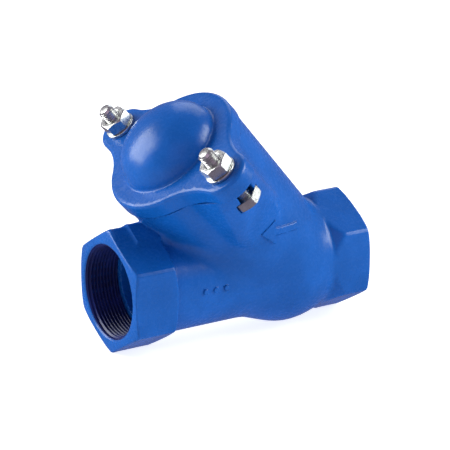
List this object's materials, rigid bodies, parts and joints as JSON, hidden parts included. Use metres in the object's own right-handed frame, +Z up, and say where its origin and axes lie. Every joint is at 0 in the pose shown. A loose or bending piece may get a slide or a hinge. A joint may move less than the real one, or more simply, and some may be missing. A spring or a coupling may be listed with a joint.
{
  "type": "ball check valve",
  "caption": "Threaded ball check valve with an inclined ball chamber, domed bolted cover and hexagon pipe ends, coated blue.",
  "frame": {"origin": "centre of the inlet end face, on the pipe axis", "axes": "+X along the flow from inlet to outlet, +Z up on the side the ball chamber leans to, +Y square to the valve's plane of symmetry"},
  "size_m": [0.173, 0.152, 0.1543],
  "materials": {
    "body_coating": "glossy blue epoxy over a ductile iron casting",
    "cover_coating": "glossy blue epoxy over a ductile iron casting",
    "seal_rubber": "matt black NBR",
    "core_metal": "as cast",
    "ball_rubber": "matt black NBR with fine mould lines",
    "stainless_bolts": "plain stainless steel",
    "stainless_washers": "plain stainless steel",
    "stainless_nuts": "plain stainless steel"
  },
  "bodies": {
    "body": {"valve_body": "body_coating", "cover": "cover_coating", "cover_seal": "seal_rubber", "cover_bolt_left": "stainless_bolts", "cover_washer_left": "stainless_washers", "cover_nut_left": "stainless_nuts", "cover_bolt_right": "stainless_bolts", "cover_washer_right": "stainless_washers", "cover_nut_right": "stainless_nuts"},
    "ball": {"ball_core": "core_metal", "ball_coating": "ball_rubber"}
  },
  "joints": [
    {"name": "ball_lift", "type": "slide", "parent": "body", "child": "ball", "axis": [0.6691, 0, 0.7431], "range_m": [0, 0.102]}
  ]
}
